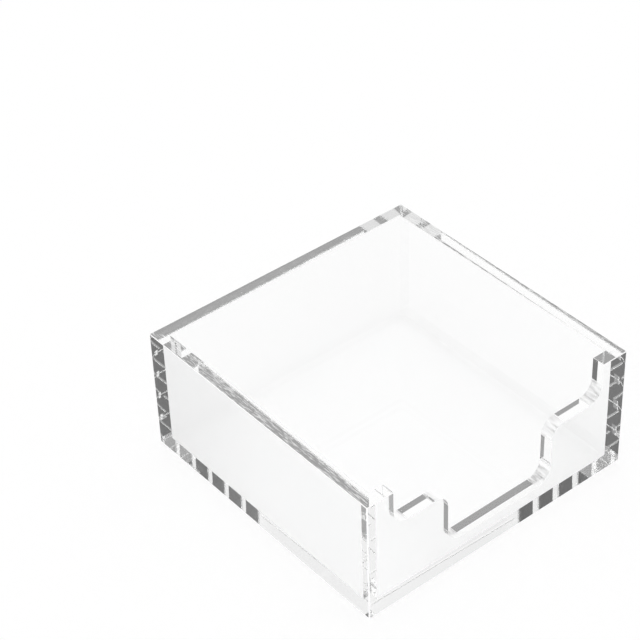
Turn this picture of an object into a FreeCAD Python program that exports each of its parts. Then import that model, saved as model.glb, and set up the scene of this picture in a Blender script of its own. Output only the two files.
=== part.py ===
import FreeCAD, Part
import Sketcher
import os
from FreeCAD import Placement, Rotation, Vector

# A small open-topped square tray of clear acrylic sheet that holds loose note sheets.
# Frame: +Z up, +X to the right along the front wall, the front wall faces -Y,
# and the origin is the middle of the underside. All lengths are in millimetres.

SIZES = [
    # outside of the tray
    ("outer_width", "88.9"),
    ("outer_depth", "88.9"),
    ("outer_height", "38.1"),
    # acrylic sheet
    ("wall_thickness", "4.0"),
    ("base_thickness", "3.0"),
    # small flat polished on each exposed edge
    ("edge_break", "0.25"),
    # stepped finger cut-out of the front wall
    ("post_width", "8.45"),
    ("upper_cut_depth", "11.4"),
    ("shelf_width", "18.0"),
    ("sill_rise", "6.0"),
    ("cut_radius", "4.5"),
    # how far a cut runs past the solid that it cuts
    ("cut_overrun", "5.0"),
]
HALF_TURN = 180
QUARTER_TURN = 90
X_AXIS_INDEX = -1
Y_AXIS_INDEX = -2
SAME_PLACE = 1e-4

doc = FreeCAD.newDocument("note_tray")
sheet = doc.addObject("Spreadsheet::Sheet", "Sizes")
for row, (alias, text) in enumerate(SIZES, start=1):
    sheet.set("A%d" % row, alias)
    sheet.set("B%d" % row, text)
    sheet.setAlias("B%d" % row, alias)
doc.recompute()


def size(alias):
    return float(sheet.get(alias))


# Sketch helpers

def new_sketch(body, name, plane_role):
    plane = [item for item in body.Origin.OriginFeatures if item.Role == plane_role][0]
    sketch = body.newObject("Sketcher::SketchObject", name)
    sketch.AttachmentSupport = [(plane, "")]
    sketch.MapMode = "FlatFace"
    return sketch


def start_of(line):
    return line, 1


def end_of(line):
    return line, 2


def constrain(sketch, kind, *items):
    return sketch.addConstraint(Sketcher.Constraint(kind, *items))


def closed_outline(sketch, corners):
    """Straight lines through the corners, joined end to end. Returns their indices."""
    lines = range(len(corners))
    following = list(lines[1:]) + [lines[0]]
    for line, after in zip(lines, following):
        start, end = Vector(*corners[line], 0), Vector(*corners[after], 0)
        sketch.addGeometry(Part.LineSegment(start, end), False)
    for line, after in zip(lines, following):
        constrain(sketch, "Coincident", *end_of(line), *start_of(after))
    return lines


def dimension(sketch, name, kind, first, second, expression):
    """A distance along X or Y from the first point to the second, bound to the sheet."""
    step = sketch.getPoint(*second) - sketch.getPoint(*first)
    present = step.x if kind == "DistanceX" else step.y
    index = constrain(sketch, kind, *first, *second, present)
    sketch.renameConstraint(index, name)
    sketch.setExpression("Constraints." + name, expression)


def rectangle(sketch, half_width, low, high):
    """A rectangle symmetric about the sketch's vertical axis. Returns its lower and right sides."""
    floor, right, top, left = closed_outline(sketch, [
        (-half_width, low), (half_width, low), (half_width, high), (-half_width, high)])
    constrain(sketch, "Symmetric", *start_of(floor), *end_of(floor), Y_AXIS_INDEX)
    constrain(sketch, "Vertical", right)
    constrain(sketch, "Horizontal", top)
    constrain(sketch, "Vertical", left)
    return floor, right


# Feature helpers

def pad(body, name, sketch, length_expression):
    feature = body.newObject("PartDesign::Pad", name)
    feature.Profile = sketch
    feature.setExpression("Length", length_expression)
    sketch.Visibility = False
    doc.recompute()
    return feature


def cut_through(body, name, sketch):
    """Cuts the sketch through the whole panel and checks that material came away."""
    before = body.Shape.Volume
    feature = body.newObject("PartDesign::Pocket", name)
    feature.Profile = sketch
    feature.Type = "ThroughAll"
    feature.SideType = "Symmetric"
    doc.recompute()
    if body.Shape.Volume > before - SAME_PLACE:
        raise RuntimeError(name + " cut nothing")
    return feature


def edge_names(shape, wanted):
    return ["Edge%d" % (index + 1) for index, edge in enumerate(shape.Edges) if wanted(edge)]


def near(first, second):
    return abs(first - second) < SAME_PLACE


def spans(edge):
    box = edge.BoundBox
    return box.XLength, box.YLength, box.ZLength


# The four walls. Each one is drawn with its outer face on y = 0 and its inner face towards
# +y, is mitred at both ends, and is then turned and moved to its side of the tray.

def wall_panel(label, length_alias):
    body = doc.addObject("PartDesign::Body", label)
    body.Label = label
    sketch = new_sketch(body, label + "_plan", "XY_Plane")
    half_length = size(length_alias) / 2
    thickness = size("wall_thickness")
    outer, right_mitre, inner, left_mitre = closed_outline(sketch, [
        (-half_length, 0), (half_length, 0),
        (half_length - thickness, thickness), (thickness - half_length, thickness)])
    constrain(sketch, "PointOnObject", *start_of(outer), X_AXIS_INDEX)
    constrain(sketch, "Symmetric", *start_of(outer), *end_of(outer), Y_AXIS_INDEX)
    constrain(sketch, "Symmetric", *start_of(inner), *end_of(inner), Y_AXIS_INDEX)
    dimension(sketch, "outer_length", "DistanceX", start_of(outer), end_of(outer),
              "Sizes." + length_alias)
    dimension(sketch, "sheet", "DistanceY", start_of(right_mitre), end_of(right_mitre),
              "Sizes.wall_thickness")
    dimension(sketch, "mitre", "DistanceX", end_of(right_mitre), start_of(right_mitre),
              "Sizes.wall_thickness")
    pad(body, label + "_sheet", sketch, "Sizes.outer_height")
    return body


def break_edges(body):
    """A small flat on every exposed long edge; mitred and bonded edges stay sharp."""
    thickness = size("wall_thickness")

    def exposed(edge):
        box = edge.BoundBox
        along_x, along_y, along_z = spans(edge)
        on_outer_face = near(along_y, 0) and near(box.YMin, 0)
        on_inner_face = near(along_y, 0) and near(box.YMin, thickness)
        if not (on_outer_face or on_inner_face):
            return False
        outline_half = body.Shape.BoundBox.XMax - (thickness if on_inner_face else 0)
        at_mitre = near(along_x, 0) and near(abs(box.XMin), outline_half)
        bonded_to_base = on_inner_face and near(along_z, 0) and near(box.ZMin, 0)
        return not (at_mitre or bonded_to_base)

    base = body.Tip
    feature = body.newObject("PartDesign::Chamfer", body.Label + "_broken_edges")
    feature.Base = (base, edge_names(base.Shape, exposed))
    feature.setExpression("Size", "Sizes.edge_break")
    base.Visibility = False
    doc.recompute()


def set_place(body, turn, x_expression, y_expression):
    body.Placement = Placement(Vector(0, 0, 0), Rotation(Vector(0, 0, 1), turn))
    body.setExpression("Placement.Base.x", x_expression)
    body.setExpression("Placement.Base.y", y_expression)


def finger_cut(body):
    """Upper wide step, lower narrow step and the six rounded corners between them."""
    half_length = size("outer_width") / 2
    top = size("outer_height") + size("cut_overrun")
    shelf = size("outer_height") - size("upper_cut_depth")
    sill = size("base_thickness") + size("sill_rise")
    upper_half = half_length - size("post_width")
    lower_half = upper_half - size("shelf_width")

    upper = new_sketch(body, "upper_cut_outline", "XZ_Plane")
    floor, right = rectangle(upper, upper_half, shelf, top)
    dimension(upper, "width", "DistanceX", start_of(floor), end_of(floor),
              "Sizes.outer_width - 2 * Sizes.post_width")
    dimension(upper, "shelf", "DistanceY", start_of(X_AXIS_INDEX), start_of(floor),
              "Sizes.outer_height - Sizes.upper_cut_depth")
    dimension(upper, "rise", "DistanceY", start_of(right), end_of(right),
              "Sizes.upper_cut_depth + Sizes.cut_overrun")
    cut_through(body, "upper_cut", upper)

    lower = new_sketch(body, "lower_cut_outline", "XZ_Plane")
    floor, right = rectangle(lower, lower_half, sill, top)
    dimension(lower, "width", "DistanceX", start_of(floor), end_of(floor),
              "Sizes.outer_width - 2 * (Sizes.post_width + Sizes.shelf_width)")
    dimension(lower, "sill", "DistanceY", start_of(X_AXIS_INDEX), start_of(floor),
              "Sizes.base_thickness + Sizes.sill_rise")
    dimension(lower, "rise", "DistanceY", start_of(right), end_of(right),
              "Sizes.outer_height + Sizes.cut_overrun"
              " - Sizes.base_thickness - Sizes.sill_rise")
    cut_through(body, "lower_cut", lower)

    corners = [(upper_half, shelf), (lower_half, shelf), (lower_half, sill)]

    def at_corner(edge):
        along_x, along_y, along_z = spans(edge)
        if not (near(along_x, 0) and near(along_z, 0)):
            return False
        box = edge.BoundBox
        return any(near(abs(box.XMin), x) and near(box.ZMin, z) for x, z in corners)

    base = body.Tip
    feature = body.newObject("PartDesign::Fillet", "cut_corners")
    feature.Base = (base, edge_names(base.Shape, at_corner))
    feature.setExpression("Radius", "Sizes.cut_radius")
    doc.recompute()


left_wall = wall_panel("left_wall", "outer_depth")
right_wall = wall_panel("right_wall", "outer_depth")
back_wall = wall_panel("back_wall", "outer_width")
front_wall = wall_panel("front_wall", "outer_width")
finger_cut(front_wall)
for wall in (left_wall, right_wall, back_wall, front_wall):
    break_edges(wall)
set_place(front_wall, 0, "0", "-Sizes.outer_depth / 2")
set_place(right_wall, QUARTER_TURN, "Sizes.outer_width / 2", "0")
set_place(back_wall, HALF_TURN, "0", "Sizes.outer_depth / 2")
set_place(left_wall, -QUARTER_TURN, "-Sizes.outer_width / 2", "0")


# The base, a square sheet set between the walls and flush with their lower edges

base_panel = doc.addObject("PartDesign::Body", "base_panel")
base_panel.Label = "base_panel"
base_plan = new_sketch(base_panel, "base_plan", "XY_Plane")
inner_half_width = size("outer_width") / 2 - size("wall_thickness")
inner_half_depth = size("outer_depth") / 2 - size("wall_thickness")
front, right = rectangle(base_plan, inner_half_width, -inner_half_depth, inner_half_depth)
dimension(base_plan, "width", "DistanceX", start_of(front), end_of(front),
          "Sizes.outer_width - 2 * Sizes.wall_thickness")
dimension(base_plan, "depth", "DistanceY", start_of(right), end_of(right),
          "Sizes.outer_depth - 2 * Sizes.wall_thickness")
dimension(base_plan, "half_depth", "DistanceY", start_of(front), start_of(X_AXIS_INDEX),
          "Sizes.outer_depth / 2 - Sizes.wall_thickness")
pad(base_panel, "base_sheet", base_plan, "Sizes.base_thickness")
base_panel.Placement = Placement(Vector(0, 0, 0), Rotation(Vector(0, 0, 1), 0))
doc.recompute()


# Checks and export

panels = [base_panel, left_wall, right_wall, back_wall, front_wall]
for item in doc.Objects:
    if "Invalid" in item.State or "Error" in item.State:
        raise RuntimeError("failed object: " + item.Label)
    if item.isDerivedFrom("Sketcher::SketchObject") and not item.FullyConstrained:
        raise RuntimeError("loose sketch: " + item.Label)
for panel in panels:
    if panel.Shape.isNull() or not panel.Shape.isValid() or len(panel.Shape.Solids) != 1:
        raise RuntimeError("bad shape: " + panel.Label)

os.makedirs("parts", exist_ok=True)
for panel in panels:
    panel.Shape.exportStep("parts/" + panel.Label + ".step")
    print("%s: %.1f mm3" % (panel.Label, panel.Shape.Volume))
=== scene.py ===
import math

import bmesh
import bpy
from mathutils import Matrix, Vector


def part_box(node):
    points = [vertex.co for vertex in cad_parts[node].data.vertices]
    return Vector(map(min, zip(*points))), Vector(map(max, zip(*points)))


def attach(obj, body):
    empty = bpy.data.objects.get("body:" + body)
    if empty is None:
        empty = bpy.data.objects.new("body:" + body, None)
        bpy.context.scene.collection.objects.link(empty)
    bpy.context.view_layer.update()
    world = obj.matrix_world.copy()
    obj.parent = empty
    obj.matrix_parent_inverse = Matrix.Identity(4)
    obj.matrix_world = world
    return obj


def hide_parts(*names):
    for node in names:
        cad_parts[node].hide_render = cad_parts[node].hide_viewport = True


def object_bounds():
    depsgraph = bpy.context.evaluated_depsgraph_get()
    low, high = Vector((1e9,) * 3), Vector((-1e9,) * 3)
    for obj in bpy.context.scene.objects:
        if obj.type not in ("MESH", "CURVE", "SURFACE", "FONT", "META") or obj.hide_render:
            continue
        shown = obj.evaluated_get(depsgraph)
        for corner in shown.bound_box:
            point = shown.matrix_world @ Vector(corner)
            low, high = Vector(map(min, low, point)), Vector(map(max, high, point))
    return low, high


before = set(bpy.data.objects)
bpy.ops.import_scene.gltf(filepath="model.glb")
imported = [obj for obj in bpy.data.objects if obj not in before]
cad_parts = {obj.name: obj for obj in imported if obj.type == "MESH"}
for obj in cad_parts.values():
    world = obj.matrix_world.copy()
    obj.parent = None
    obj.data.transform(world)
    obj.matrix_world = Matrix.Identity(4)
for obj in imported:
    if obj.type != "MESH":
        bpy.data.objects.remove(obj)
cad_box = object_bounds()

# A square tray of clear acrylic: five sheets bonded with solvent, which takes all reflection out of
# the joints, so light runs through the five as through one block. The tray is made as one block
# first, with its exposed edges rounded, and then cut along the joints into its five sheets.
# Lengths are in metres and angles in radians, in the row frame.

MM = 0.001

# Sizes that the frame gives
HALF_WIDTH = cad_box[1].x
HALF_DEPTH = cad_box[1].y
HEIGHT = cad_box[1].z
INNER_HALF_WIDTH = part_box("base_panel")[1].x
INNER_HALF_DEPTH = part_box("base_panel")[1].y
FLOOR_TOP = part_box("base_panel")[1].z

# The stepped finger cut-out of the front wall
POST_WIDTH = 8.45 * MM
UPPER_CUT_DEPTH = 11.4 * MM
SHELF_WIDTH = 18.0 * MM
SILL_RISE = 6.0 * MM
CUT_RADIUS = 4.5 * MM
CUT_ARC_STEPS = 24

# The radii of the exposed edges, which are those whose faces turn away from each other by more than
# the exposed angle
CORNER_ROUNDING = 0.3 * MM
FOOT_ROUNDING = 0.2 * MM
RIM_ROUNDING = 0.2 * MM
CUT_ROUNDING = 0.08 * MM
ROUNDING_STEPS = 6
EXPOSED_ANGLE = math.radians(40)

# Edges that turn by more than this are shaded sharp
SHARP_ANGLE = math.radians(28)

# How close two places are when they count as one, and the digits that tell them apart
SAME_PLACE = 1e-7
PLACE_DIGITS = 9

# How far a surface can be turned and still count as flat, or as square to an axis
FLAT = 1e-7
TURNED = 0.02

# The material slots of a sheet: its faces, its rim, its other cut edges, the eased edges between
# them, the tight corners of the cut-out and the joints
FACE, RIM, EDGE, EASED, CURVE, BOND = range(6)

X_AXIS, Y_AXIS, Z_AXIS = range(3)

# The sides in x and y on which a square's corners lie, from the near left one on
CORNER_SIDES = [(-1, -1), (1, -1), (1, 1), (-1, 1)]


# The tray as one block

def arc(centre_x, centre_z, first_angle, last_angle):
    """Points on a corner of the cut-out, from one angle to the other, in degrees."""
    points = []
    for step in range(CUT_ARC_STEPS + 1):
        angle = math.radians(first_angle + (last_angle - first_angle) * step / CUT_ARC_STEPS)
        points.append((centre_x + CUT_RADIUS * math.cos(angle),
                       centre_z + CUT_RADIUS * math.sin(angle)))
    return points


def cut_outline():
    """The finger cut-out from its upper left end to its upper right end, as (x, z) points."""
    upper_half = HALF_WIDTH - POST_WIDTH
    lower_half = upper_half - SHELF_WIDTH
    shelf = HEIGHT - UPPER_CUT_DEPTH
    sill = FLOOR_TOP + SILL_RISE
    right = (arc(lower_half - CUT_RADIUS, sill + CUT_RADIUS, -90, 0)
             + arc(lower_half + CUT_RADIUS, shelf - CUT_RADIUS, 180, 90)
             + arc(upper_half - CUT_RADIUS, shelf + CUT_RADIUS, -90, 0)
             + [(upper_half, HEIGHT)])
    left = [(-x, z) for x, z in reversed(right)]
    return left + right


def box_corner(x_side, y_side, inner, z):
    """A corner of the tray's outside or inside, by its sides in x and y and its height."""
    half_width = INNER_HALF_WIDTH if inner else HALF_WIDTH
    half_depth = INNER_HALF_DEPTH if inner else HALF_DEPTH
    return x_side * half_width, y_side * half_depth, z


def tray_block():
    """The whole tray as one closed mesh with sharp edges."""
    block = bmesh.new()
    made = {}

    def vertex(place):
        key = tuple(round(value, PLACE_DIGITS) for value in place)
        if key not in made:
            made[key] = block.verts.new(place)
        return made[key]

    def face(*places):
        block.faces.new([vertex(place) for place in places])

    cut = cut_outline()
    for inner, low in ((False, 0), (True, FLOOR_TOP)):
        y = -INNER_HALF_DEPTH if inner else -HALF_DEPTH
        face(box_corner(-1, -1, inner, low), box_corner(1, -1, inner, low),
             box_corner(1, -1, inner, HEIGHT), *[(x, y, z) for x, z in reversed(cut)],
             box_corner(-1, -1, inner, HEIGHT))
        for first, second in zip(CORNER_SIDES[1:], CORNER_SIDES[2:] + CORNER_SIDES[:1]):
            face(box_corner(*first, inner, low), box_corner(*second, inner, low),
                 box_corner(*second, inner, HEIGHT), box_corner(*first, inner, HEIGHT))
        face(*[box_corner(*corner, inner, low) for corner in CORNER_SIDES])
    for (x, z), (next_x, next_z) in zip(cut, cut[1:]):
        face((x, -HALF_DEPTH, z), (next_x, -HALF_DEPTH, next_z),
             (next_x, -INNER_HALF_DEPTH, next_z), (x, -INNER_HALF_DEPTH, z))
    cut_left, cut_right = cut[0][0], cut[-1][0]
    face((cut_left, -HALF_DEPTH, HEIGHT), box_corner(-1, -1, False, HEIGHT),
         box_corner(-1, 1, False, HEIGHT), box_corner(1, 1, False, HEIGHT),
         box_corner(1, -1, False, HEIGHT), (cut_right, -HALF_DEPTH, HEIGHT),
         (cut_right, -INNER_HALF_DEPTH, HEIGHT), box_corner(1, -1, True, HEIGHT),
         box_corner(1, 1, True, HEIGHT), box_corner(-1, 1, True, HEIGHT),
         box_corner(-1, -1, True, HEIGHT), (cut_left, -INNER_HALF_DEPTH, HEIGHT))
    bmesh.ops.recalc_face_normals(block, faces=block.faces)
    if block.calc_volume(signed=True) < 0:
        bmesh.ops.reverse_faces(block, faces=block.faces)
    return block


def in_cut_out(place):
    """Whether a place on the tray's surface is on the finger cut-out or along its outline."""
    return (abs(place.x) < HALF_WIDTH - POST_WIDTH + SAME_PLACE
            and place.y < SAME_PLACE - INNER_HALF_DEPTH)


def rounding_of(edge):
    """How far an exposed edge of the block is rounded: its radius, or 0 where it stays sharp."""
    if edge.calc_face_angle_signed() < EXPOSED_ANGLE:
        return 0
    middle = (edge.verts[0].co + edge.verts[1].co) / 2
    if middle.z < SAME_PLACE:
        return FOOT_ROUNDING
    if in_cut_out(middle):
        return CUT_ROUNDING
    outer_corner = (abs(abs(middle.x) - HALF_WIDTH) < SAME_PLACE
                    and abs(abs(middle.y) - HALF_DEPTH) < SAME_PLACE)
    return CORNER_ROUNDING if outer_corner else RIM_ROUNDING


def rounded_block():
    """The block with its exposed edges rounded, as a mesh."""
    block = tray_block()
    radii = [rounding_of(edge) for edge in block.edges]
    mesh = bpy.data.meshes.new("tray_block")
    block.to_mesh(mesh)
    block.free()
    widest = max(radii)
    weights = mesh.attributes.new("bevel_weight_edge", "FLOAT", "EDGE")
    weights.data.foreach_set("value", [radius / widest for radius in radii])
    holder = bpy.data.objects.new("tray_block", mesh)
    bpy.context.scene.collection.objects.link(holder)
    bevel = holder.modifiers.new("edge_rounding", "BEVEL")
    bevel.limit_method = "WEIGHT"
    bevel.width = widest
    bevel.segments = ROUNDING_STEPS
    bevel.use_clamp_overlap = False
    shown = holder.evaluated_get(bpy.context.evaluated_depsgraph_get())
    rounded = bpy.data.meshes.new_from_object(shown)
    bpy.data.objects.remove(holder)
    bpy.data.meshes.remove(mesh)
    return rounded


# The five sheets

def cut_away(solid, place, towards):
    """Cuts the solid at a plane, drops the side that towards points to, and closes the cut."""
    place, towards = Vector(place), Vector(towards).normalized()

    def off_plane(vertex):
        return abs((vertex.co - place).dot(towards)) > SAME_PLACE

    dropped = [face for face in solid.faces
               if face.normal.dot(towards) < 0 and not any(map(off_plane, face.verts))]
    bmesh.ops.delete(solid, geom=dropped, context="FACES_ONLY")
    bmesh.ops.bisect_plane(solid, geom=solid.verts[:] + solid.edges[:] + solid.faces[:],
                           dist=SAME_PLACE, plane_co=place, plane_no=towards, clear_outer=True)
    loose = [edge for edge in solid.edges if not edge.link_faces]
    bmesh.ops.delete(solid, geom=loose, context="EDGES")
    rim = [edge for edge in solid.edges if edge.is_boundary]
    closing = bmesh.ops.holes_fill(solid, edges=rim)
    for face in closing["faces"]:
        face.material_index = BOND
        face.normal_update()


def slot_of(face, thin_axis):
    """The material slot of a surface that isn't a joint, by where it is and how it is turned."""
    if abs(face.normal[thin_axis]) > math.cos(FLAT):
        return FACE
    middle = face.calc_center_median()
    if face.normal.z > math.cos(TURNED) and not in_cut_out(middle):
        return RIM
    if max(abs(value) for value in face.normal) > math.cos(TURNED):
        return EDGE
    goes_through = abs(face.normal.y) < TURNED
    return CURVE if goes_through and in_cut_out(middle) else EASED


def sheet_mesh(rounded, name, cuts, thin_axis):
    """The part of the rounded block inside the cuts, with its faces, edges and joints marked."""
    solid = bmesh.new()
    solid.from_mesh(rounded)
    for place, towards in cuts:
        cut_away(solid, place, towards)
    bmesh.ops.recalc_face_normals(solid, faces=solid.faces)
    for face in solid.faces:
        face.smooth = True
        if face.material_index != BOND:
            face.material_index = slot_of(face, thin_axis)
    for edge in solid.edges:
        edge.smooth = edge.calc_face_angle() < SHARP_ANGLE
    mesh = bpy.data.meshes.new(name)
    solid.to_mesh(mesh)
    solid.free()
    return mesh


def make_sheet(rounded, node, cuts, thin_axis, finishes):
    """One bonded sheet, which stands for its CAD node."""
    name = node + "_sheet"
    sheet = bpy.data.objects.new(name, sheet_mesh(rounded, name, cuts, thin_axis))
    bpy.context.scene.collection.objects.link(sheet)
    for material in finishes[thin_axis]:
        sheet.data.materials.append(material)
    flatten = sheet.modifiers.new("flat_faces", "WEIGHTED_NORMAL")
    flatten.keep_sharp = True
    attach(sheet, "root")
    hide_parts(node)


def wall_cuts(x_side, y_side):
    """A wall's planes: the mitres at its two ends and its joint with the base."""
    along = Vector((-y_side, x_side, 0))
    outwards = Vector((x_side, y_side, 0))
    cuts = []
    for end in (-1, 1):
        corner = outwards + end * along
        place = (corner.x * HALF_WIDTH, corner.y * HALF_DEPTH, 0)
        cuts.append((place, end * along - outwards))
    inner_face = (x_side * INNER_HALF_WIDTH, y_side * INNER_HALF_DEPTH, 0)
    return cuts + [(inner_face, -outwards)]


def base_cuts():
    """The base's planes: its joints with the four walls."""
    return [((side * INNER_HALF_WIDTH, 0, 0), (side, 0, 0)) for side in (-1, 1)] + [
        ((0, side * INNER_HALF_DEPTH, 0), (0, side, 0)) for side in (-1, 1)]


# Node helpers

# How far below a whole number a test lies that counts up to it
COUNT_MARGIN = 0.5


def link_or_set(tree, socket, value):
    """Links the socket to another socket, or sets it to a plain value."""
    if isinstance(value, bpy.types.NodeSocket):
        tree.links.new(value, socket)
    else:
        socket.default_value = value


def math_node(tree, operation, *values):
    """The result of a math operation on sockets or plain values."""
    node = tree.nodes.new("ShaderNodeMath")
    node.operation = operation
    for socket, value in zip(node.inputs, values):
        link_or_set(tree, socket, value)
    return node.outputs[0]


def opposite(tree, share):
    """1 where the share is 0, and 0 where it is 1."""
    return math_node(tree, "SUBTRACT", 1, share)


def product(tree, *values):
    """All the values multiplied."""
    result = values[0]
    for value in values[1:]:
        result = math_node(tree, "MULTIPLY", result, value)
    return result


def ranged(tree, value, limits, start=0, end=1, change="LINEAR"):
    """A value from start to end spread over the limits, and kept within them."""
    node = tree.nodes.new("ShaderNodeMapRange")
    node.interpolation_type = change
    link_or_set(tree, node.inputs["Value"], value)
    node.inputs["From Min"].default_value, node.inputs["From Max"].default_value = start, end
    node.inputs["To Min"].default_value, node.inputs["To Max"].default_value = limits
    return node.outputs[0]


def soft_step(tree, value, start, end):
    """0 below the start, 1 above the end and a smooth change between them."""
    return ranged(tree, value, (0, 1), start, end, "SMOOTHSTEP")


def blend(tree, factor, at_zero, at_one):
    """A mix of two values."""
    node = tree.nodes.new("ShaderNodeMix")
    node.data_type = "FLOAT"
    for socket, value in zip((node.inputs[0], node.inputs[2], node.inputs[3]),
                             (factor, at_zero, at_one)):
        link_or_set(tree, socket, value)
    return node.outputs[0]


def mix_shaders(tree, factor, at_zero, at_one):
    """A mix of two shaders."""
    node = tree.nodes.new("ShaderNodeMixShader")
    link_or_set(tree, node.inputs[0], factor)
    tree.links.new(at_zero, node.inputs[1])
    tree.links.new(at_one, node.inputs[2])
    return node.outputs["Shader"]


def coordinates(tree, kind):
    """By the kind Object the place on an object, by Generated in the world a ray's direction."""
    return tree.nodes.new("ShaderNodeTexCoord").outputs[kind]


def split_axes(tree, vector):
    """A vector's x, y and z."""
    node = tree.nodes.new("ShaderNodeSeparateXYZ")
    tree.links.new(vector, node.inputs[0])
    return node.outputs


def depth_reaches(tree, kind, times):
    """1 for a ray that has been reflected (Glossy), let through (Transmission) or scattered
    (Diffuse) at least so many times since the camera."""
    path = tree.nodes.new("ShaderNodeLightPath")
    return math_node(tree, "GREATER_THAN", path.outputs[kind + " Depth"], times - COUNT_MARGIN)


def empty_tree(holder):
    """The node tree of a material or world, without its first nodes."""
    holder.use_nodes = True
    holder.node_tree.nodes.clear()
    return holder.node_tree


# Materials

ACRYLIC_IOR = 1.49
ACRYLIC_TINT = (0.998, 0.999, 0.999, 1)

# Black takes out the reflection at a right angle and keeps the one at a flat angle
STRAIGHT_REFLECTION = (0, 0, 0, 1)

# The faces of cast sheet are very slightly wavy
WAVE_LENGTH = 22 * MM
WAVE_DETAIL = 1
WAVE_HEIGHT = 0.004 * MM
FACE_ROUGHNESS = (0.0, 0.015)

# The solvent softened the mitred corners, and their outer edges swelled a little, more towards the
# edge
SWELL_WIDTH = 3 * MM
SWELL_HEIGHT = 0.015 * MM
SWELL_POWER = 2

# A cut edge has fine lines across the sheet, left by the cutter and softened by the polishing,
# which misses the eased edges and the tight corners of the cut-out: they stay frosted. The clarity
# is the share of the light that isn't scattered. A tight corner is frosted where the noise is below
# the start value, and clearest where it is above the end value.
LINE_SPACING = 0.35 * MM
LINE_LENGTH = 6 * MM
LINE_DETAIL = 2
EDGE_LINE_DEPTH = 0.0005 * MM
EDGE_ROUGHNESS = (0.0, 0.015)
EDGE_CLARITY = 1
EASED_ROUGHNESS = (0.2, 0.5)
EASED_CLARITY = 0.1
CORNER_LINE_DEPTH = 0.006 * MM
CORNER_ROUGHNESS = (0.20, 0.40)
CORNER_CLARITY = (0.1, 0.9)
CORNER_START, CORNER_END = 0.45, 0.65

# The rims have streaks along the wall where the polishing left them a little frosted, more so on
# the side walls. A streak begins where the noise is above the start value.
STREAK_WIDTH = 0.25 * MM
STREAK_LENGTH = 2.5 * MM
STREAK_DETAIL = 2
STREAK_DEPTH = 0.001 * MM
STREAK_START, STREAK_END = 0.5, 0.62
RIM_ROUGHNESS = (0.0, 0.15)
SIDE_STREAK_CLARITY, FRONT_STREAK_CLARITY = 0.5, 0.95


def acrylic(name):
    """Clear acrylic with no surface detail yet. Returns the material, its tree and its shader."""
    material = bpy.data.materials.new(name)
    tree = empty_tree(material)
    shader = tree.nodes.new("ShaderNodeBsdfPrincipled")
    shader.inputs["Base Color"].default_value = ACRYLIC_TINT
    shader.inputs["IOR"].default_value = ACRYLIC_IOR
    shader.inputs["Transmission Weight"].default_value = 1
    shader.inputs["Specular Tint"].default_value = STRAIGHT_REFLECTION
    output = tree.nodes.new("ShaderNodeOutputMaterial")
    tree.links.new(shader.outputs["BSDF"], output.inputs["Surface"])
    return material, tree, shader


def noise(tree, lengths, detail):
    """Noise from 0 to 1 whose grains have the given lengths along x, y and z."""
    stretch = tree.nodes.new("ShaderNodeMapping")
    stretch.inputs["Scale"].default_value = [1 / length for length in lengths]
    tree.links.new(coordinates(tree, "Object"), stretch.inputs["Vector"])
    texture = tree.nodes.new("ShaderNodeTexNoise")
    texture.inputs["Scale"].default_value = 1
    texture.inputs["Detail"].default_value = detail
    tree.links.new(stretch.outputs["Vector"], texture.inputs["Vector"])
    return texture.outputs["Fac"]


def bump(tree, shader, height):
    """Bends the shader's surface by a height in metres. For light inside a sheet, where the surface
    is Backfacing, the height's sign is turned, as it would bend the other way there."""
    inside = tree.nodes.new("ShaderNodeNewGeometry").outputs["Backfacing"]
    outwards = math_node(tree, "SUBTRACT", opposite(tree, inside), inside)
    node = tree.nodes.new("ShaderNodeBump")
    node.inputs["Distance"].default_value = 1
    tree.links.new(math_node(tree, "MULTIPLY", height, outwards), node.inputs["Height"])
    tree.links.new(node.outputs["Normal"], shader.inputs["Normal"])


def corner_swell(tree, along_axis):
    """The height by which a wall that runs along the given axis is swollen near its ends."""
    along = split_axes(tree, coordinates(tree, "Object"))[along_axis]
    from_middle = math_node(tree, "ABSOLUTE", along)
    start = (HALF_WIDTH, HALF_DEPTH)[along_axis] - SWELL_WIDTH
    into = math_node(tree, "MAXIMUM", math_node(tree, "SUBTRACT", from_middle, start), 0)
    share = math_node(tree, "DIVIDE", into, SWELL_WIDTH)
    return math_node(tree, "MULTIPLY", math_node(tree, "POWER", share, SWELL_POWER), SWELL_HEIGHT)


def sheet_face_material(name, along_axis):
    """The face of a sheet that runs along the given axis."""
    material, tree, shader = acrylic(name)
    waves = noise(tree, [WAVE_LENGTH] * 3, WAVE_DETAIL)
    wave_height = math_node(tree, "MULTIPLY", waves, WAVE_HEIGHT)
    bump(tree, shader, math_node(tree, "ADD", wave_height, corner_swell(tree, along_axis)))
    tree.links.new(ranged(tree, waves, FACE_ROUGHNESS), shader.inputs["Roughness"])
    return material


def lined_acrylic(name, thin_axis, line_depth, roughness_limits):
    """Acrylic with fine lines across a sheet that is thin along the given axis. Returns the
    material, its tree, its shader and the lines."""
    material, tree, shader = acrylic(name)
    lengths = [LINE_SPACING] * 3
    lengths[thin_axis] = LINE_LENGTH
    lines = noise(tree, lengths, LINE_DETAIL)
    bump(tree, shader, math_node(tree, "MULTIPLY", lines, line_depth))
    tree.links.new(ranged(tree, lines, roughness_limits), shader.inputs["Roughness"])
    return material, tree, shader, lines


def cut_edge_material(name, thin_axis, roughness_limits, clarity):
    """A cut edge of a sheet that is thin along the given axis."""
    material, _, shader, _ = lined_acrylic(name, thin_axis, EDGE_LINE_DEPTH, roughness_limits)
    shader.inputs["Transmission Weight"].default_value = clarity
    return material


def tight_corner_material(name, thin_axis):
    """A tight corner of a cut edge: frosted, with clearer lines across the sheet."""
    material, tree, shader, lines = lined_acrylic(name, thin_axis, CORNER_LINE_DEPTH,
                                                  CORNER_ROUGHNESS)
    clarity = ranged(tree, lines, CORNER_CLARITY, CORNER_START, CORNER_END)
    tree.links.new(clarity, shader.inputs["Transmission Weight"])
    return material


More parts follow.
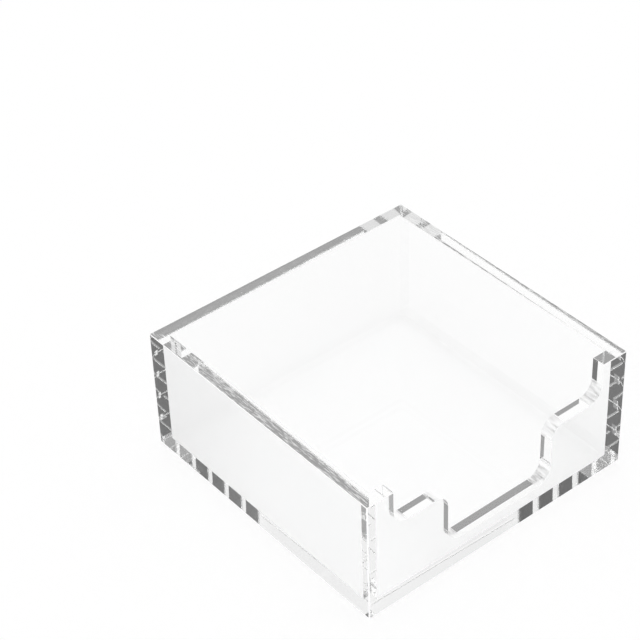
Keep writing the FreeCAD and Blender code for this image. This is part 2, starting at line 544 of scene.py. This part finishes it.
def rim_material(name, along_axis, streak_clarity):
    """The rim of a wall that runs along the given axis, by how clear its streaks are."""
    material, tree, shader = acrylic(name)
    lengths = [STREAK_WIDTH] * 3
    lengths[along_axis] = STREAK_LENGTH
    streaks = noise(tree, lengths, STREAK_DETAIL)
    bump(tree, shader, math_node(tree, "MULTIPLY", streaks, STREAK_DEPTH))
    for socket, limits in (("Roughness", RIM_ROUGHNESS),
                           ("Transmission Weight", (1, streak_clarity))):
        value = ranged(tree, streaks, limits, STREAK_START, STREAK_END)
        tree.links.new(value, shader.inputs[socket])
    return material


def bonded_joint_material():
    """Two sheets joined by solvent: light passes as if nothing were there."""
    material, _, shader = acrylic("solvent_bond")
    shader.inputs["Alpha"].default_value = 0
    return material


# The studio

WHITE = (1, 1, 1, 1)

# How bright the light tent is in each direction that a reflection can look, by the signs of x, y
# and z: grey cards to the back left and the front right give the clear edges their contrast. Its
# parts blend where the direction's x, y or z is nearer to 0 than the edge.
TENT = {
    (-1, -1, 1): 0.50, (1, -1, 1): 0.13, (-1, 1, 1): 0.13, (1, 1, 1): 0.90,
    (-1, -1, -1): 0.75, (1, -1, -1): 0.36, (-1, 1, -1): 0.36, (1, 1, -1): 1.00,
}
TENT_EDGE = 0.12

# What a ray sees that was reflected more than once: the tent, brighter overhead and underneath
# where the direction's z is large, and grey high on the back right where its x is
OVERHEAD_LIGHT = 1.8
UNDERSIDE_LIGHT = 1.2
POLE_START, POLE_END = 0.72, 0.82
HIGH_RIGHT_START, HIGH_RIGHT_END = 0.545, 0.56
HIGH_RIGHT_GREY = 0.3

# What a ray sees that was reflected once, from outside: a white wall with two grey spots. A spot is
# soft between two cosines of the angle to its middle.
WALL_WHITE = 1.0
FRONT_SPOT = Vector((0.51, -0.52, -0.68)).normalized()
FRONT_SPOT_EDGE = (0.9973, 1.0)
FRONT_SPOT_GREY = 0.35
LEFT_SPOT = Vector((-0.30, 0.70, -0.65)).normalized()
LEFT_SPOT_EDGE = (0.984, 0.995)
LEFT_SPOT_GREY = 0.34

# What a ray sees that was reflected once, inside a sheet: the tent with the left spot. The lower
# front right darkens towards the right, and the lower back left turns pale far to the left.
LEFT_SPOT_INSIDE = 0.22
LOW_FRONT_START, LOW_FRONT_END = 0.52, 0.565
LOW_FRONT_GREY = (0.37, 0.17)
LOW_BACK_START, LOW_BACK_END = 0.50, 0.53
LOW_BACK_GREY = 0.75

# What every other ray sees: the camera's own, scattered ones and those that only pass the sheets
PLAIN_WHITE = 1.0


def spot(tree, direction, middle, edge):
    """1 in the middle of a spot of the world, 0 around it and soft at its edge."""
    towards = tree.nodes.new("ShaderNodeVectorMath")
    towards.operation = "DOT_PRODUCT"
    tree.links.new(direction, towards.inputs[0])
    towards.inputs[1].default_value = middle
    return soft_step(tree, towards.outputs["Value"], *edge)


def tent_greys(tree, right, back, high):
    """The brightness of the tent's eight parts, blended by the three shares."""
    levels = []
    for z_sign in (-1, 1):
        sides = [blend(tree, right, TENT[-1, y_sign, z_sign], TENT[1, y_sign, z_sign])
                 for y_sign in (-1, 1)]
        levels.append(blend(tree, back, *sides))
    return blend(tree, high, *levels)


def reflected_brightness(tree):
    """What a reflected ray sees, by its direction and by how and how often it was reflected."""
    direction = coordinates(tree, "Generated")
    x, y, z = split_axes(tree, direction)
    to_left, downwards = product(tree, x, -1), product(tree, z, -1)
    right, back, high = [soft_step(tree, axis, -TENT_EDGE, TENT_EDGE) for axis in (x, y, z)]
    front, low = opposite(tree, back), opposite(tree, high)
    tent = tent_greys(tree, right, back, high)
    front_spot = spot(tree, direction, FRONT_SPOT, FRONT_SPOT_EDGE)
    left_spot = spot(tree, direction, LEFT_SPOT, LEFT_SPOT_EDGE)

    far_right = soft_step(tree, x, HIGH_RIGHT_START, HIGH_RIGHT_END)
    often = blend(tree, product(tree, far_right, back, high), tent, HIGH_RIGHT_GREY)
    often = blend(tree, soft_step(tree, z, POLE_START, POLE_END), often, OVERHEAD_LIGHT)
    often = blend(tree, soft_step(tree, downwards, POLE_START, POLE_END), often, UNDERSIDE_LIGHT)

    outside = blend(tree, front_spot, WALL_WHITE, FRONT_SPOT_GREY)
    outside = blend(tree, left_spot, outside, LEFT_SPOT_GREY)

    front_grey = ranged(tree, x, LOW_FRONT_GREY, LOW_FRONT_START, LOW_FRONT_END)
    far_left = soft_step(tree, to_left, LOW_BACK_START, LOW_BACK_END)
    inside = blend(tree, product(tree, right, front, low), tent, front_grey)
    inside = blend(tree, product(tree, far_left, back, low), inside, LOW_BACK_GREY)
    inside = blend(tree, left_spot, inside, LEFT_SPOT_INSIDE)

    once = blend(tree, depth_reaches(tree, "Transmission", 1), outside, inside)
    return blend(tree, depth_reaches(tree, "Glossy", 2), once, often)


def make_world():
    """White to the camera, to diffuse light and through the sheets, and the tent in reflections."""
    world = bpy.data.worlds.new("light_tent")
    bpy.context.scene.world = world
    tree = empty_tree(world)
    background = tree.nodes.new("ShaderNodeBackground")
    background.inputs["Color"].default_value = WHITE
    was_reflected = depth_reaches(tree, "Glossy", 1)
    strength = blend(tree, was_reflected, PLAIN_WHITE, reflected_brightness(tree))
    tree.links.new(strength, background.inputs["Strength"])
    output = tree.nodes.new("ShaderNodeOutputWorld")
    tree.links.new(background.outputs["Background"], output.inputs["Surface"])


# The floor lies just under the tray. Its whiteness is the share that is plain white and takes no
# shadow.
FLOOR_HALF_SIZE = 4.0
FLOOR_GAP = 0.2 * MM
FLOOR_WHITENESS = 0.75


def floor_material():
    """Matt, and nearly plain white to the camera, straight on or through the sheets, with a little
    of the tray's shadow. Reflected rays pass it, so that they see the tent below the tray too."""
    material = bpy.data.materials.new("floor_white")
    tree = empty_tree(material)
    matt = tree.nodes.new("ShaderNodeBsdfDiffuse")
    matt.inputs["Color"].default_value = WHITE
    plain = tree.nodes.new("ShaderNodeEmission")
    plain.inputs["Color"].default_value = WHITE
    seen = opposite(tree, depth_reaches(tree, "Diffuse", 1))
    whiteness = product(tree, seen, FLOOR_WHITENESS)
    white = mix_shaders(tree, whiteness, matt.outputs["BSDF"], plain.outputs["Emission"])
    clear = tree.nodes.new("ShaderNodeBsdfTransparent")
    surface = mix_shaders(tree, depth_reaches(tree, "Glossy", 1), white, clear.outputs["BSDF"])
    output = tree.nodes.new("ShaderNodeOutputMaterial")
    tree.links.new(surface, output.inputs["Surface"])
    return material


def make_floor():
    """The plain pale floor."""
    solid = bmesh.new()
    solid.faces.new([solid.verts.new((x * FLOOR_HALF_SIZE, y * FLOOR_HALF_SIZE, -FLOOR_GAP))
                     for x, y in CORNER_SIDES])
    mesh = bpy.data.meshes.new("floor")
    solid.to_mesh(mesh)
    solid.free()
    mesh.materials.append(floor_material())
    floor = bpy.data.objects.new("floor", mesh)
    bpy.context.scene.collection.objects.link(floor)


# The camera, which looks over the near left corner at the photograph's angle. Its azimuth is 0 from
# the front.

CAMERA_AZIMUTH = math.radians(-38.061)
CAMERA_ELEVATION = math.radians(38.522)
CAMERA_ROLL = math.radians(-2.336)
CAMERA_TARGET = Vector((0.00794, 0.03760, 0.01905))
CAMERA_DISTANCE = 0.5737
CAMERA_LENS = 114.59
CAMERA_NEAR_LIMIT = 0.01


def make_camera():
    """The scene's camera, which stands back from its target and is rolled a little."""
    back = Vector((math.sin(CAMERA_AZIMUTH) * math.cos(CAMERA_ELEVATION),
                   -math.cos(CAMERA_AZIMUTH) * math.cos(CAMERA_ELEVATION),
                   math.sin(CAMERA_ELEVATION)))
    level_right = Vector((0, 0, 1)).cross(back).normalized()
    level_up = back.cross(level_right)
    right = level_right * math.cos(CAMERA_ROLL) + level_up * math.sin(CAMERA_ROLL)
    up = level_up * math.cos(CAMERA_ROLL) - level_right * math.sin(CAMERA_ROLL)
    turn = Matrix((right, up, back)).transposed().to_4x4()
    lens = bpy.data.cameras.new("camera")
    lens.lens = CAMERA_LENS
    lens.clip_start = CAMERA_NEAR_LIMIT
    camera = bpy.data.objects.new("camera", lens)
    camera.matrix_world = Matrix.Translation(CAMERA_TARGET + back * CAMERA_DISTANCE) @ turn
    bpy.context.scene.collection.objects.link(camera)
    bpy.context.scene.camera = camera


# A ray can be reflected dozens of times inside a sheet before it comes out
LONGEST_PATH = 64
NO_BLUR = 0


def set_light_paths():
    """Lets light run long paths inside the sheets, with its reflections kept sharp."""
    cycles = bpy.context.scene.cycles
    cycles.max_bounces = LONGEST_PATH
    cycles.glossy_bounces = LONGEST_PATH
    cycles.transmission_bounces = LONGEST_PATH
    cycles.transparent_max_bounces = LONGEST_PATH
    cycles.blur_glossy = NO_BLUR


# Everything together

def sheet_finishes():
    """The materials of a sheet's slots, in their order, by the axis along which the sheet is thin.
    The base has all the slots too, but shows only its faces and joints."""
    tight_corner = tight_corner_material("acrylic_cut_corner", Y_AXIS)
    bond = bonded_joint_material()
    finishes = {}
    for thin_axis, along_axis, kind, streak_clarity in (
            (X_AXIS, Y_AXIS, "side", SIDE_STREAK_CLARITY),
            (Y_AXIS, X_AXIS, "front", FRONT_STREAK_CLARITY),
            (Z_AXIS, X_AXIS, "base", FRONT_STREAK_CLARITY)):
        finishes[thin_axis] = [
            sheet_face_material("acrylic_face_" + kind, along_axis),
            rim_material("acrylic_rim_" + kind, along_axis, streak_clarity),
            cut_edge_material("acrylic_edge_" + kind, thin_axis, EDGE_ROUGHNESS, EDGE_CLARITY),
            cut_edge_material("acrylic_eased_" + kind, thin_axis, EASED_ROUGHNESS, EASED_CLARITY),
            tight_corner, bond]
    return finishes


def make_tray():
    """The tray's five sheets."""
    block = rounded_block()
    finishes = sheet_finishes()
    for node, cuts, thin_axis in (("base_panel", base_cuts(), Z_AXIS),
                                  ("left_wall", wall_cuts(-1, 0), X_AXIS),
                                  ("right_wall", wall_cuts(1, 0), X_AXIS),
                                  ("back_wall", wall_cuts(0, 1), Y_AXIS),
                                  ("front_wall", wall_cuts(0, -1), Y_AXIS)):
        make_sheet(block, node, cuts, thin_axis, finishes)
    bpy.data.meshes.remove(block)


make_tray()
make_world()
make_floor()
make_camera()
set_light_paths()
bpy.context.scene.view_settings.view_transform = "Standard"
